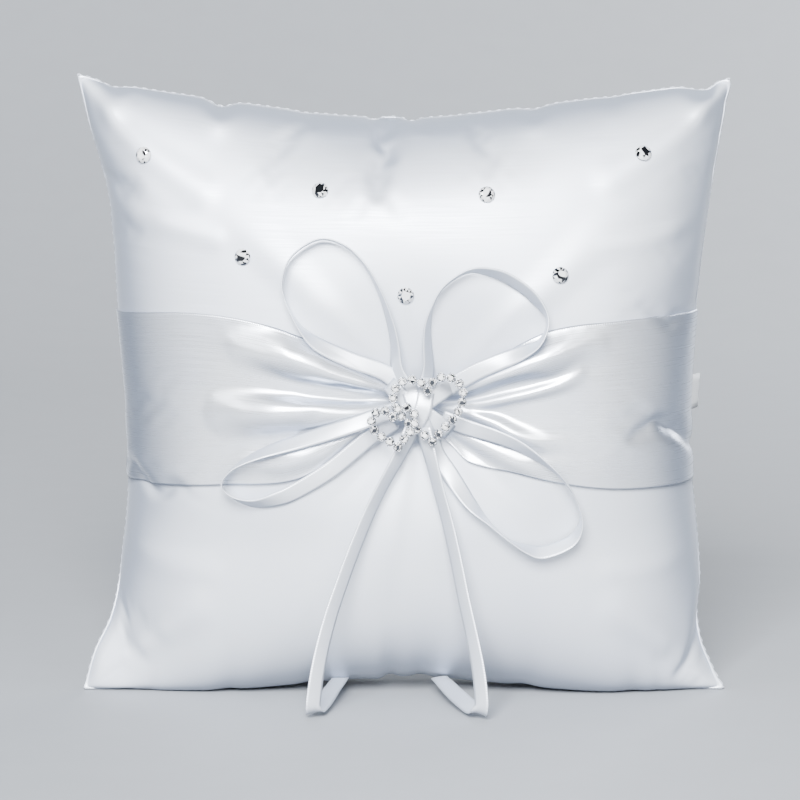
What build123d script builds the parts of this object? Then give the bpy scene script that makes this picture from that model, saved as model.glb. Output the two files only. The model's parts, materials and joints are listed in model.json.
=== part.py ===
from build123d import *
import math
import os

# Ring bearer pillow, standing on its lower edge. Millimetres.
# +X is the viewer's right, -Y is the front, +Z is up. The origin is under the
# middle of the whole footprint, on the table.

os.makedirs("parts", exist_ok=True)

# --- Cushion -------------------------------------------------------------------
WIDTH = 200.0  # corner tip to corner tip
HEIGHT = 190.0  # table to the upper corner tips
DEPTH = 37.0  # seam to crest, front and back alike
SIDE_PULL = 13.5  # how far the side seams pull in at mid-height
TOP_PULL = 12.0
BOTTOM_PULL = 4.0
FABRIC = 0.8  # satin with its lining
SEAM_ALLOWANCE = 6.0
SEAM_INSET = 1.0  # seam thread from the edge
FLANGE = 0.5  # one turned-in seam allowance, pressed flat
SLACK = 0.1  # air between the covers and the filling

# --- Sash, bow and brooch ------------------------------------------------------
SASH_WIDTH = 53.0
SASH_GATHER = 20.0  # width left where the sash is bunched
SASH = 0.5  # thickness of the folded satin
AIR = 0.05  # clearance between layers that only touch
KNOT_X = 6.0
KNOT_Z = 92.5
THREAD = 0.4
RIBBON_WIDTH = 5.0
RIBBON = 0.4
HUB_RADIUS = 10.0
HINGE_RADIUS = 17.0  # where loops and tails leave the stitched hub
BAND_WIDTH = 2.6  # heart frame, seen from the front
BAND = 1.2  # heart frame, front to back
STONE = 2.2  # diameter of a stone set in the hearts
SEAT = 0.8  # depth of a stone's seat
STUD = 5.0  # diameter of a single stone on the satin
TAIL_REACH = 54.0  # seam to the foremost bend of the tails

# --- Levels in front of the seam plane ----------------------------------------
SASH_TOP = DEPTH + AIR + SASH
HUB_BASE = SASH_TOP + AIR + THREAD + AIR
HUB_TOP = HUB_BASE + RIBBON_WIDTH
SHANK = 0.6  # thread shank between the hub and the brooch
LARGE_HEART_BASE = HUB_TOP + SHANK
HEART_GAP = 0.8  # between the two hearts, where the small one crosses the large one
SMALL_HEART_BASE = LARGE_HEART_BASE + BAND + HEART_GAP

SEAM_Y = (TAIL_REACH - DEPTH) / 2  # centres the footprint on the origin
MIDDLE_Z = HEIGHT / 2
FRONT = Plane(origin=(0, SEAM_Y, MIDDLE_Z), x_dir=(1, 0, 0), z_dir=(0, -1, 0))
BACK = Plane(origin=(0, SEAM_Y, MIDDLE_Z), x_dir=(-1, 0, 0), z_dir=(0, 1, 0))

# Contours of the stuffed shape from the seam to the crest. Each row holds shares
# of the seam's own size: distance from the seam, middle of a side, corner,
# middle of the bottom, and bottom corner, where the filling has settled.
CONTOURS = (
    (0.00, 1.00, 1.00, 1.00, 1.00),
    (0.20, 0.96, 0.87, 0.99, 1.02),
    (0.45, 0.87, 0.72, 0.92, 0.90),
    (0.70, 0.70, 0.54, 0.76, 0.66),
    (0.90, 0.45, 0.33, 0.50, 0.38),
    (1.00, 0.25, 0.17, 0.27, 0.19),
)


def contour_lines(middle, corner, low_middle, low_corner, grow):
    """Draw one four-sided contour of the cushion in the current BuildLine."""
    side_x = (WIDTH / 2 - SIDE_PULL) * middle + grow
    corner_x = WIDTH / 2 * corner + grow
    top_z = (HEIGHT / 2 - TOP_PULL) * middle + grow
    corner_z = HEIGHT / 2 * corner + grow
    bottom_z = -(HEIGHT / 2 - BOTTOM_PULL) * low_middle - grow
    foot_z = -HEIGHT / 2 * low_corner - grow
    ThreePointArc((-corner_x, corner_z), (0, top_z), (corner_x, corner_z))
    ThreePointArc((corner_x, corner_z), (side_x, 0), (corner_x, foot_z))
    ThreePointArc((corner_x, foot_z), (0, bottom_z), (-corner_x, foot_z))
    ThreePointArc((-corner_x, foot_z), (-side_x, 0), (-corner_x, corner_z))


def half_cushion(seam, grow, floor=0.0):
    """Half of the stuffed shape, larger all round by grow, cut flat at floor."""
    with BuildPart() as half:
        for share, middle, corner, low_middle, low_corner in CONTOURS:
            with BuildSketch(seam.offset(share * (DEPTH + grow))):
                with BuildLine():
                    contour_lines(middle, corner, low_middle, low_corner, grow)
                make_face()
        loft()
        split(bisect_by=Plane.XY.offset(floor), keep=Keep.TOP)
    return half.part


def seam_ring(seam, outer_inset, inner_inset, thickness, both=False):
    """Flat band that follows the seam, between two distances inside it."""
    with BuildPart() as ring:
        with BuildSketch(seam):
            with BuildLine():
                contour_lines(1, 1, 1, 1, -outer_inset)
            make_face()
            with BuildLine():
                contour_lines(1, 1, 1, 1, -inner_inset)
            make_face(mode=Mode.SUBTRACT)
        extrude(amount=thickness, both=both)
    return ring.part


def hollow(seam, slack):
    """Space inside one cover, less its turned-in seam allowance."""
    with BuildPart() as space:
        add(half_cushion(seam, -FABRIC - slack, FABRIC + slack))
        add(
            seam_ring(seam, 0, SEAM_ALLOWANCE + slack, FLANGE + slack),
            mode=Mode.SUBTRACT,
        )
    return space.part


def finish(builder, name):
    """Label a finished piece and write it."""
    builder.part.label = name
    export_step(builder.part, f"parts/{name}.step")


# --- Covers, seam and filling ----------------------------------------------------
thread_ring = seam_ring(FRONT, SEAM_INSET, SEAM_INSET + THREAD, THREAD / 2, both=True)

with BuildPart() as front_cover:
    add(half_cushion(FRONT, 0))
    add(hollow(FRONT, 0), mode=Mode.SUBTRACT)
    add(thread_ring, mode=Mode.SUBTRACT)
finish(front_cover, "front_cover")

with BuildPart() as back_cover:
    add(half_cushion(BACK, 0))
    add(hollow(BACK, 0), mode=Mode.SUBTRACT)
    add(thread_ring, mode=Mode.SUBTRACT)
finish(back_cover, "back_cover")

with BuildPart() as fibre_filling:
    add(hollow(FRONT, SLACK))
    add(hollow(BACK, SLACK))
finish(fibre_filling, "fibre_filling")

with BuildPart() as seam_thread:
    add(thread_ring)
finish(seam_thread, "seam_thread")

# Slanted hand stitches that close the stuffing gap in the bottom seam.
STITCH_COUNT = 9
STITCH_PITCH = 6.0
STITCH_LENGTH = 2.6
STITCH_SLANT = 35.0
STITCH_DROP = 0.5  # seam to the middle of a stitch

with BuildPart() as closing_stitches:
    for number in range(STITCH_COUNT):
        stitch_x = (number - (STITCH_COUNT - 1) / 2) * STITCH_PITCH
        seam_z = BOTTOM_PULL * (1 - (2 * stitch_x / WIDTH) ** 2)
        lean = Vector(0, 1, 0).rotate(Axis.Z, STITCH_SLANT)
        stitch = Plane(
            origin=(stitch_x, SEAM_Y, seam_z - STITCH_DROP),
            z_dir=lean,
        )
        with BuildSketch(stitch):
            Circle(THREAD / 2)
        extrude(amount=STITCH_LENGTH / 2, both=True)
finish(closing_stitches, "closing_stitches")

# --- Sash across the front -------------------------------------------------------
knot_local_z = KNOT_Z - MIDDLE_Z

with BuildPart() as satin_sash:
    add(half_cushion(FRONT, AIR + SASH))
    add(half_cushion(FRONT, AIR), mode=Mode.SUBTRACT)
    with BuildSketch(FRONT):
        with BuildLine():
            Polyline(
                (-WIDTH / 2, knot_local_z + SASH_WIDTH / 2),
                (KNOT_X, knot_local_z + SASH_GATHER / 2),
                (WIDTH / 2, knot_local_z + SASH_WIDTH / 2),
                (WIDTH / 2, knot_local_z - SASH_WIDTH / 2),
                (KNOT_X, knot_local_z - SASH_GATHER / 2),
                (-WIDTH / 2, knot_local_z - SASH_WIDTH / 2),
                close=True,
            )
        make_face()
    extrude(amount=2 * DEPTH, mode=Mode.INTERSECT)
finish(satin_sash, "satin_sash")

# Three straps of thread over the bunched satin.
KNOT = Plane(origin=(KNOT_X, SEAM_Y, KNOT_Z), x_dir=(1, 0, 0), z_dir=(0, -1, 0))
GATHER_COUNT = 3
GATHER_PITCH = 3.0
GATHER_MARGIN = 2.0  # bunched satin left beyond each end of a strap

with BuildPart() as gather_stitches:
    with BuildSketch(KNOT.offset(SASH_TOP + AIR)):
        with GridLocations(GATHER_PITCH, 0, GATHER_COUNT, 1):
            Rectangle(THREAD, SASH_GATHER - 2 * GATHER_MARGIN)
    extrude(amount=THREAD)
finish(gather_stitches, "gather_stitches")

# --- Bow -------------------------------------------------------------------------
# Direction from the knot, reach beyond the hinge line, and width of each loop.
LOOPS = {
    "upper_left_loop": (127.0, 43.0, 24.0),
    "upper_right_loop": (51.0, 32.0, 30.0),
    "lower_left_loop": (202.0, 46.0, 14.0),
    "lower_right_loop": (-37.0, 43.0, 22.0),
}
# Direction of each tail from the knot.
TAILS = {"left_tail": -108.8, "right_tail": -79.6}
LOOP_GAP = 0.3  # between the hub's ribs and the loops
LOOP_CLEAR = 1.0  # between the loops and the satin behind them
LOOP_OPENING = 15.0  # share of a turn, in degrees, that a loop stays open at the hub
LOOP_SWELL = (0.35, 0.75)  # even and far-end shares of a loop's half width
HUB_ROUND = 1.5


def spoke(direction, level):
    """Plane parallel to the seam, with X pointing out from the knot."""
    turn = math.radians(direction)
    return Plane(
        origin=(KNOT_X, SEAM_Y - level, KNOT_Z),
        x_dir=(math.cos(turn), 0, math.sin(turn)),
        z_dir=(0, -1, 0),
    )


def loop_points(reach, width, count=9):
    """Pear-shaped run of a loop, out from the hinge line and back to it."""
    points = []
    for number in range(count):
        turned = LOOP_OPENING + (360 - 2 * LOOP_OPENING) * number / (count - 1)
        turn = math.radians(turned)
        out = reach * (1 - math.cos(turn)) / 2
        swell = math.sin(turn) * (LOOP_SWELL[0] + LOOP_SWELL[1] * math.sin(turn / 2))
        points.append((HINGE_RADIUS + LOOP_GAP + out, width / 2 * swell))
    return points


with BuildPart() as bow_knot:
    with BuildSketch(KNOT.offset(HUB_BASE)):
        Circle(HUB_RADIUS)
    extrude(amount=RIBBON_WIDTH)
    fillet(bow_knot.faces().sort_by(Axis.Y)[0].edges(), radius=HUB_ROUND)
    for direction, _, _ in LOOPS.values():
        with BuildSketch(spoke(direction, HUB_BASE)):
            with Locations((HINGE_RADIUS / 2, 0)):
                Rectangle(HINGE_RADIUS, 2 * RIBBON)
        extrude(amount=RIBBON_WIDTH - LOOP_CLEAR)
    for direction in TAILS.values():
        with BuildSketch(spoke(direction, HUB_BASE)):
            with Locations((HINGE_RADIUS / 2, 0)):
                Rectangle(HINGE_RADIUS, RIBBON_WIDTH)
        extrude(amount=2 * RIBBON)
finish(bow_knot, "bow_knot")


for name, (direction, reach, width) in LOOPS.items():
    with BuildPart() as loop:
        with BuildSketch(spoke(direction, HUB_BASE + LOOP_CLEAR)):
            with BuildLine() as run:
                Spline(*loop_points(reach, width))
            trace(run.line, RIBBON)
        extrude(amount=RIBBON_WIDTH - LOOP_CLEAR)
    finish(loop, name)

TABLE_CLEAR = 1.3  # the ribbon's middle above the table where it bends
TAIL_LEVEL = HUB_BASE + 1.5 * RIBBON
TAIL_SAG = 3.0  # how far a tail swings out at half its fall
CURL = 4.0  # radius of its bend on the table
FREE_END = (10.0, 5.0)  # how far its end runs on behind the bend, back and up

for name, direction in TAILS.items():
    turn = math.radians(direction)
    fall = (KNOT_Z - TABLE_CLEAR) / -math.sin(turn)
    side_view = Plane(
        origin=(KNOT_X, SEAM_Y, KNOT_Z),
        x_dir=(0, -1, 0),
        z_dir=(-math.sin(turn), 0, math.cos(turn)),
    )
    bend = TAIL_REACH - RIBBON / 2
    with BuildPart() as tail:
        with BuildSketch(side_view):
            with BuildLine() as run:
                hang = Spline(
                    (TAIL_LEVEL, HINGE_RADIUS + LOOP_GAP),
                    (TAIL_LEVEL + TAIL_SAG, fall / 2),
                    (bend - CURL / 4, fall - 2 * CURL),
                    (bend, fall - CURL),
                    tangents=((0.05, 1), (0, 1)),
                )
                curl_end = Vector(bend - 2 * CURL, fall - CURL)
                curl = ThreePointArc(hang @ 1, (bend - CURL, fall), curl_end)
                Line(curl @ 1, curl_end - Vector(*FREE_END))
            trace(run.line, RIBBON)
        extrude(amount=RIBBON_WIDTH / 2, both=True)
    finish(tail, name)

# --- Linked hearts ---------------------------------------------------------------
# Centre relative to the knot, width, height, tilt, level and number of stones.
HEARTS = {
    "large_heart": ((3.5, 0.8), 21.0, 19.2, 5.0, LARGE_HEART_BASE, 22),
    "small_heart": ((-6.8, -4.4), 13.2, 11.6, 10.0, SMALL_HEART_BASE, 14),
}
LOBE_RADIUS = 0.256  # share of the heart's width
LOBE_CENTRE = 0.244
LOBE_OVERRUN = 15.0  # degrees that a lobe runs on past its widest point
POINT_SLOPE = 50.0  # angle of the sides at the point, from horizontal


def heart_plane(centre, tilt, level):
    """Plane of a heart, seen from the front and turned anticlockwise by tilt."""
    turn = math.radians(tilt)
    return Plane(
        origin=(KNOT_X + centre[0], SEAM_Y - level, KNOT_Z + centre[1]),
        x_dir=(math.cos(turn), 0, math.sin(turn)),
        z_dir=(0, -1, 0),
    )


def heart_wire(width, height):
    """Middle line of a heart: two lobe arcs and two curved sides."""
    radius = LOBE_RADIUS * width
    lobe_x = LOBE_CENTRE * width
    lobe_y = height / 2 - radius
    start = 180 - math.degrees(math.acos(lobe_x / radius))
    slope = math.radians(POINT_SLOPE)
    with BuildLine() as line:
        lobe = CenterArc((lobe_x, lobe_y), radius, start, -start - LOBE_OVERRUN)
        Spline(
            lobe @ 1,
            (0, -height / 2),
            tangents=(lobe % 1, (-math.cos(slope), -math.sin(slope))),
        )
        mirror(about=Plane.YZ)
    return line.wire()


def stone_places(width, height, count):
    """Evenly spaced points along a heart, one of them in its cleft."""
    wire = heart_wire(width, height)
    return [wire @ (number / count) for number in range(count)]


CROWN = 0.6  # how far a set stone's table stands above its girdle
GIRDLE = 0.15  # straight edge of a set stone
TABLE_SHARE = 0.55  # of a stone's diameter

with BuildPart() as heart_stone:
    with BuildSketch(Plane.XZ):
        with BuildLine():
            Polyline(
                (0, 0),
                (STONE / 2, SEAT - GIRDLE),
                (STONE / 2, SEAT),
                (TABLE_SHARE * STONE / 2, SEAT + CROWN),
                (0, SEAT + CROWN),
                close=True,
            )
        make_face()
    revolve(axis=Axis.Z)

for name, (centre, width, height, tilt, level, count) in HEARTS.items():
    with BuildPart() as frame:
        with BuildSketch(heart_plane(centre, tilt, level)):
            trace(heart_wire(width, height), BAND_WIDTH)
            with Locations(*stone_places(width, height, count)):
                Circle(BAND_WIDTH / 2)
        extrude(amount=BAND)
        with BuildSketch(heart_plane(centre, tilt, level + BAND)):
            with Locations(*stone_places(width, height, count)):
                Circle(STONE / 2 + AIR)
        extrude(amount=-SEAT, mode=Mode.SUBTRACT)
    finish(frame, f"{name}_frame")

    with BuildPart() as stones:
        with Locations(heart_plane(centre, tilt, level + BAND - SEAT)):
            with Locations(*stone_places(width, height, count)):
                add(heart_stone.part)
    finish(stones, f"{name}_crystals")

# Thread shanks that hold the large heart off the hub, where it crosses the hub.
SHANK_RADIUS = 0.5
SHANK_EVERY = 3  # stones between two shanks
centre, width, height, tilt, level, count = HEARTS["large_heart"]
shank_plane = heart_plane(centre, tilt, HUB_TOP + AIR)
shank_places = [
    place
    for place in stone_places(width, height, count)[::SHANK_EVERY]
    if (place + Vector(*centre)).length < HUB_RADIUS - 2 * SHANK_RADIUS
]

with BuildPart() as brooch_stitches:
    with BuildSketch(shank_plane):
        with Locations(*shank_places):
            Circle(SHANK_RADIUS)
    extrude(amount=SHANK - 2 * AIR)
finish(brooch_stitches, "brooch_stitches")

# --- Single stones on the satin ---------------------------------------------------
STUD_PLACES = (
    (-78.0, 167.0),
    (-47.0, 137.5),
    (-24.0, 157.0),
    (2.0, 126.5),
    (26.0, 156.0),
    (48.0, 132.5),
    (73.0, 167.5),
)
GLUE = 0.3
GLUE_MARGIN = 1.0  # a stone's edge beyond its glue
STUD_RISE = 1.8
STUD_EDGE = 0.35


def satin_plane(x, z):
    """Plane on the front cover at x, z, facing out of the satin."""
    probe = Axis((x, SEAM_Y - 2 * DEPTH, z), (0, 1, 0))
    point, normal = front_cover.part.find_intersection_points(probe)[0]
    return Plane(origin=point, z_dir=normal)


stud_planes = [satin_plane(x, z) for x, z in STUD_PLACES]

with BuildPart() as crystal_glue_dots:
    for place in stud_planes:
        with BuildSketch(place.offset(AIR)):
            Circle(STUD / 2 - GLUE_MARGIN)
        extrude(amount=GLUE)
finish(crystal_glue_dots, "crystal_glue_dots")

with BuildPart() as stud:
    with BuildSketch(Plane.XZ):
        with BuildLine():
            Polyline(
                (0, 0),
                (STUD / 2, 0),
                (STUD / 2, STUD_EDGE),
                (TABLE_SHARE * STUD / 2, STUD_RISE),
                (0, STUD_RISE),
                close=True,
            )
        make_face()
    revolve(axis=Axis.Z)

with BuildPart() as scattered_crystals:
    for place in stud_planes:
        with Locations(place.offset(AIR + GLUE)):
            add(stud.part)
finish(scattered_crystals, "scattered_crystals")

# --- Care label ---------------------------------------------------------------------
LABEL_HEIGHT = 10.5
LABEL_LENGTH = 6.5
LABEL = 0.25
LABEL_LEAN = 60.0  # how far the free end leans back from +X
LABEL_GAP = 1.6  # seam to the folded label's hinge line
label_turn = math.radians(LABEL_LEAN)
label_root = Plane(
    origin=(WIDTH / 2 - SIDE_PULL + LABEL_GAP, SEAM_Y, KNOT_Z),
    x_dir=(math.cos(label_turn), math.sin(label_turn), 0),
    z_dir=(0, 0, 1),
)

with BuildPart() as care_label:
    with BuildSketch(label_root):
        with BuildLine() as fold:
            lower = Line((0, -LABEL), (LABEL_LENGTH - LABEL, -LABEL))
            bend = ThreePointArc(lower @ 1, (LABEL_LENGTH, 0), (LABEL_LENGTH - LABEL, LABEL))
            Line(bend @ 1, (0, LABEL))
        trace(fold.line, LABEL)
    extrude(amount=LABEL_HEIGHT / 2, both=True)
finish(care_label, "care_label")
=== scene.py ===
"""Looks of the ring bearer pillow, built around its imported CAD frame.

Metres, +Z up, front towards -Y. Both covers and the sash are simulated as cloth; the ribbons, the
stones, the stitches and the label are modelled directly over them.
"""

import json
import math
import random

import bmesh
import bpy
import numpy as np
from mathutils import Matrix, Vector
from mathutils.bvhtree import BVHTree


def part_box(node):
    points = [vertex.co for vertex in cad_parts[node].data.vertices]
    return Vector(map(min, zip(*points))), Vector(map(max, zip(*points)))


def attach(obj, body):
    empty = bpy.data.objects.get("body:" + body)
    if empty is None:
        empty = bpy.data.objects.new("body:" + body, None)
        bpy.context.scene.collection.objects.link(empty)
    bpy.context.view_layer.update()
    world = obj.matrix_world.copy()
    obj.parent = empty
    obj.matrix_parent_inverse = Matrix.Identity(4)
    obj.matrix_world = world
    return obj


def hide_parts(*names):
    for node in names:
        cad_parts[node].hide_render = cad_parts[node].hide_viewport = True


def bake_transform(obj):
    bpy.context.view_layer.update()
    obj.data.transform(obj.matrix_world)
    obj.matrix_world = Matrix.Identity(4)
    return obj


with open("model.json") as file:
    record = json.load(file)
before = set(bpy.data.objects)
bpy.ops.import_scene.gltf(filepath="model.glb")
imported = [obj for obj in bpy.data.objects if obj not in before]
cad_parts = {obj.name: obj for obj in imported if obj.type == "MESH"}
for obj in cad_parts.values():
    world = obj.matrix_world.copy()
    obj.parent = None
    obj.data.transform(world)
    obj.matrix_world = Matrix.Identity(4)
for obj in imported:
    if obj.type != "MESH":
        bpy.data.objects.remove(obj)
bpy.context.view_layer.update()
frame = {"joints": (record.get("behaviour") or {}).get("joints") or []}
MM = 0.001
FRONT = np.array([0.0, -1.0, 0.0])

# --- Places taken from the frame ----------------------------------------------
COVER_LOW, COVER_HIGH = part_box("front_cover")
SEAM_Y = COVER_HIGH.y
FRONT_DEPTH = SEAM_Y - COVER_LOW.y
BACK_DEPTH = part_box("back_cover")[1].y - SEAM_Y
KNOT = sum(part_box("gather_stitches"), Vector()) / 2
HUB_FRONT_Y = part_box("bow_knot")[0].y
JOINTS = {joint["child"]: joint for joint in frame["joints"]}


# --- Small helpers ------------------------------------------------------------
def smoothstep(low, high, value):
    """0 below low, 1 above high, eased between; works on arrays."""
    t = np.clip((value - low) / (high - low), 0, 1)
    return t * t * (3 - 2 * t)


def unit(vectors):
    """Vectors of an array made one long."""
    return vectors / np.maximum(np.linalg.norm(vectors, axis=-1, keepdims=True), 1e-12)


def through(keys, at):
    """Smooth curve through a few (place, value) keys, read at an array of places."""
    place, value = np.array(keys, float).T
    slope = np.gradient(value, place)
    at = np.clip(at, place[0], place[-1])
    cell = np.clip(np.searchsorted(place, at) - 1, 0, len(place) - 2)
    span = place[cell + 1] - place[cell]
    t = (at - place[cell]) / span
    start, end = value[cell], value[cell + 1]
    rise = start + (end - start) * (3 * t**2 - 2 * t**3)
    return rise + span * (slope[cell] * (t**3 - 2 * t**2 + t) + slope[cell + 1] * (t**3 - t**2))


def reach_along(line):
    """Distance of each point of a line from its start, along the line."""
    steps = np.linalg.norm(np.diff(line, axis=0), axis=-1)
    return np.concatenate([[0], np.cumsum(steps)])


def smooth_run(keys, count):
    """Evenly spaced rows of a smooth curve through rows of numbers; the first two are places."""
    keys = np.array(keys, float)
    padded = np.vstack([2 * keys[0] - keys[1], keys, 2 * keys[-1] - keys[-2]])
    t = np.linspace(0, 1, 20, endpoint=False)[:, None]
    pieces = []
    for a, b, c, d in zip(padded, padded[1:], padded[2:], padded[3:]):
        bend = (2 * a - 5 * b + 4 * c - d) * t**2 + (3 * b - a - 3 * c + d) * t**3
        pieces.append(b + ((c - a) * t + bend) / 2)
    fine = np.vstack(pieces + [keys[-1:]])
    reach = reach_along(fine[:, :2])
    at = np.linspace(0, reach[-1], count)
    return np.stack([np.interp(at, reach, column) for column in fine.T], axis=1)


def mesh_object(name, points, faces, smooth=True):
    """New mesh object from points, in a list or a grid, and faces."""
    mesh = bpy.data.meshes.new(name)
    mesh.from_pydata(np.reshape(points, (-1, 3)).tolist(), [], [tuple(f) for f in faces])
    mesh.update()
    mesh.shade_smooth() if smooth else mesh.shade_flat()
    piece = bpy.data.objects.new(name, mesh)
    bpy.context.scene.collection.objects.link(piece)
    return piece


def grid_faces(rows, columns):
    """Quads of a grid whose points are stored row by row."""
    return [
        (r * columns + c, r * columns + c + 1, (r + 1) * columns + c + 1, (r + 1) * columns + c)
        for r in range(rows - 1)
        for c in range(columns - 1)
    ]


def sheet(name, grid):
    """New mesh object from a grid of points alone."""
    return mesh_object(name, grid, grid_faces(*grid.shape[:2]))


def set_uv(piece, u, v):
    """UV layer from one u and one v per vertex, in metres of fabric."""
    uv = np.stack([np.ravel(u), np.ravel(v)], axis=-1)
    layer = piece.data.uv_layers.new(name="cloth")
    for loop in piece.data.loops:
        layer.data[loop.index].uv = uv[loop.vertex_index]


def smoothed(piece):
    """Subdivide a piece smoothly, once."""
    modifier = piece.modifiers.new("smooth", "SUBSURF")
    modifier.levels = 1
    modifier.uv_smooth = "PRESERVE_BOUNDARIES"


def thickened(piece, thickness, side=0.0):
    """Give a sheet its thickness, for good; side, from -1 to 1, says where the sheet lies in it."""
    modifier = piece.modifiers.new("thickness", "SOLIDIFY")
    modifier.thickness = thickness
    modifier.offset = side
    graph = bpy.context.evaluated_depsgraph_get()
    mesh = bpy.data.meshes.new_from_object(piece.evaluated_get(graph))
    piece.modifiers.clear()
    piece.data = mesh


def finish_piece(piece, material, node, body="pillow"):
    """Material, body, CAD node and material slot of a finished piece."""
    piece.data.materials.append(material)
    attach(piece, body)
    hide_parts(node)


def finish_bent_piece(piece, material, body, start, end, slot):
    """Material of a piece, with its transform baked in and its CAD node, body, hidden; start, end and slot are not
    used.
    """
    piece.data.materials.append(material)
    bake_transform(piece)
    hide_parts(body)


# --- Materials ----------------------------------------------------------------
class Nodes:
    """Thin layer over the node tree of a material or of the world."""

    def __init__(self, owner, surface="Principled BSDF"):
        self.owner = owner
        owner.use_nodes = True
        self.tree = owner.node_tree
        self.surface = self.tree.nodes[surface]

    def add(self, kind, **values):
        """New node; values are inputs by name (spaces as _) or node properties."""
        node = self.tree.nodes.new("ShaderNode" + kind)
        for name, value in values.items():
            if hasattr(node, name):
                setattr(node, name, value)
            else:
                self.feed(node.inputs[name.replace("_", " ")], value)
        return node

    def feed(self, socket, value):
        """Connect or set one input."""
        if isinstance(value, bpy.types.NodeSocket):
            self.tree.links.new(value, socket)
        else:
            socket.default_value = value

    def set(self, **values):
        """Inputs of the surface by name (spaces as _)."""
        for name, value in values.items():
            self.feed(self.surface.inputs[name.replace("_", " ")], value)

    def cloth_uv(self, stretch):
        """UV coordinates in metres, stretched."""
        coordinates = self.add("UVMap", uv_map="cloth").outputs["UV"]
        return self.add("Mapping", Vector=coordinates, Scale=stretch).outputs["Vector"]

    def object_place(self):
        """Place in the piece's own frame, in metres."""
        return self.add("TexCoord").outputs["Object"]

    def noise(self, vector, scale, detail=2.0):
        """Cloudy pattern from 0 to 1, mostly near its middle."""
        return self.add("TexNoise", Vector=vector, Scale=scale, Detail=detail).outputs["Fac"]

    def ramp(self, value, low, high, to_low, to_high):
        """Value mapped from low..high to to_low..to_high."""
        node = self.add("MapRange", interpolation_type="SMOOTHSTEP", Value=value)
        limits = {"From Min": low, "From Max": high, "To Min": to_low, "To Max": to_high}
        for name, number in limits.items():
            self.feed(node.inputs[name], number)
        return node.outputs["Result"]

    def wave(self, vector, scale, **values):
        """Regular bands from 0 to 1."""
        return self.add("TexWave", Vector=vector, Scale=scale, **values).outputs["Fac"]

    def scaled(self, vector, factor):
        """Vector made factor times as long."""
        node = self.add("VectorMath", operation="SCALE", Scale=factor)
        self.feed(node.inputs[0], vector)
        return node.outputs[0]

    def math(self, operation, first, second=0.0):
        """Result of a math node."""
        node = self.add("Math", operation=operation)
        self.feed(node.inputs[0], first)
        self.feed(node.inputs[1], second)
        return node.outputs[0]

    def mix(self, factor, first, second):
        """Colour between first and second."""
        node = self.add("MixRGB")
        for socket, value in zip(node.inputs, (factor, first, second)):
            self.feed(socket, value)
        return node.outputs[0]

    def bump(self, height, distance, strength=1.0, normal=None):
        """Normal bent by a height pattern; distance is its full height in metres."""
        node = self.add("Bump", Height=height, Distance=distance, Strength=strength)
        if normal is not None:
            self.feed(node.inputs["Normal"], normal)
        return node.outputs["Normal"]


def material_nodes(name):
    """Node tree of a new material."""
    return Nodes(bpy.data.materials.new(name))


def satin(name, light, deep, roughness, gloss, slub, rim, half_width=None):
    """Satin: streaked float threads over a silky reflection, with shade painted into its colour, by rim, where it turns
    away from the camera.

    UV is in metres, warp along u. A ribbon's half_width gives it a ribbed woven edge.
    """
    nodes = material_nodes(name)
    threads = nodes.noise(nodes.cloth_uv((40, 2600, 1)), 1.0, 3.0)
    weave = nodes.noise(nodes.cloth_uv((1500, 4200, 1)), 1.0, 1.0)
    shade = nodes.noise(nodes.object_place(), 22.0)
    colour = nodes.mix(nodes.ramp(shade, 0.3, 0.7, 0, 1), light, deep)
    colour = nodes.mix(nodes.ramp(threads, 0.35, 0.65, 0, 0.35 * slub), colour, deep)
    streaks = nodes.math("MULTIPLY", threads, slub)
    height = nodes.math("ADD", streaks, nodes.math("MULTIPLY", weave, 0.4))
    normal = nodes.bump(height, 0.04 * MM, 0.5)
    if half_width:
        across = nodes.add("SeparateXYZ", Vector=nodes.cloth_uv((1, 1, 1))).outputs["Y"]
        aside = nodes.math("ABSOLUTE", across)
        edge = nodes.ramp(aside, half_width - 0.9 * MM, half_width - 0.5 * MM, 0, 1)
        colour = nodes.mix(nodes.math("MULTIPLY", edge, 0.45), colour, deep)
        ribs = nodes.wave(nodes.cloth_uv((1, 0, 0)), 420.0)
        normal = nodes.bump(nodes.math("MULTIPLY", edge, ribs), 0.06 * MM, 0.8, normal)
    # painted shade: the colour is darkened towards a grey blue, by rim, where the surface turns away from the camera
    painted_shade_facing = nodes.add("LayerWeight", Blend=0.5).outputs["Facing"]
    colour = nodes.mix(nodes.ramp(painted_shade_facing, 0.08, 0.55, 0, rim), colour, (0.3, 0.345, 0.44, 1))
    nodes.set(
        Base_Color=colour,
        Normal=normal,
        Roughness=nodes.ramp(threads, 0.3, 0.7, roughness - 0.04, roughness + 0.06),
        Metallic=gloss,
        Anisotropic=0.35,
        Sheen_Weight=0.25,
        Sheen_Roughness=0.35,
        Sheen_Tint=(0.9, 0.94, 1, 1),
        Specular_IOR_Level=0.5,
    )
    return nodes.owner


def thread(name, light, deep):
    """Twisted sewing thread."""
    nodes = material_nodes(name)
    place = nodes.object_place()
    twist = nodes.wave(place, 900.0, Distortion=2.0, bands_direction="DIAGONAL")
    nodes.set(
        Base_Color=nodes.mix(twist, deep, light),
        Roughness=0.55,
        Sheen_Weight=0.3,
        Normal=nodes.bump(twist, 0.05 * MM, 0.8),
    )
    return nodes.owner


def silver(name):
    """Bright plated metal with fine wear."""
    nodes = material_nodes(name)
    wear = nodes.noise(nodes.object_place(), 900.0, 3.0)
    dull = nodes.ramp(wear, 0.3, 0.7, 0, 1)
    nodes.set(
        Base_Color=nodes.mix(dull, (0.62, 0.63, 0.66, 1), (0.4, 0.42, 0.46, 1)),
        Metallic=1.0,
        Roughness=nodes.ramp(wear, 0.3, 0.7, 0.1, 0.22),
        Normal=nodes.bump(wear, 0.02 * MM, 0.4),
    )
    return nodes.owner


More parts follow.
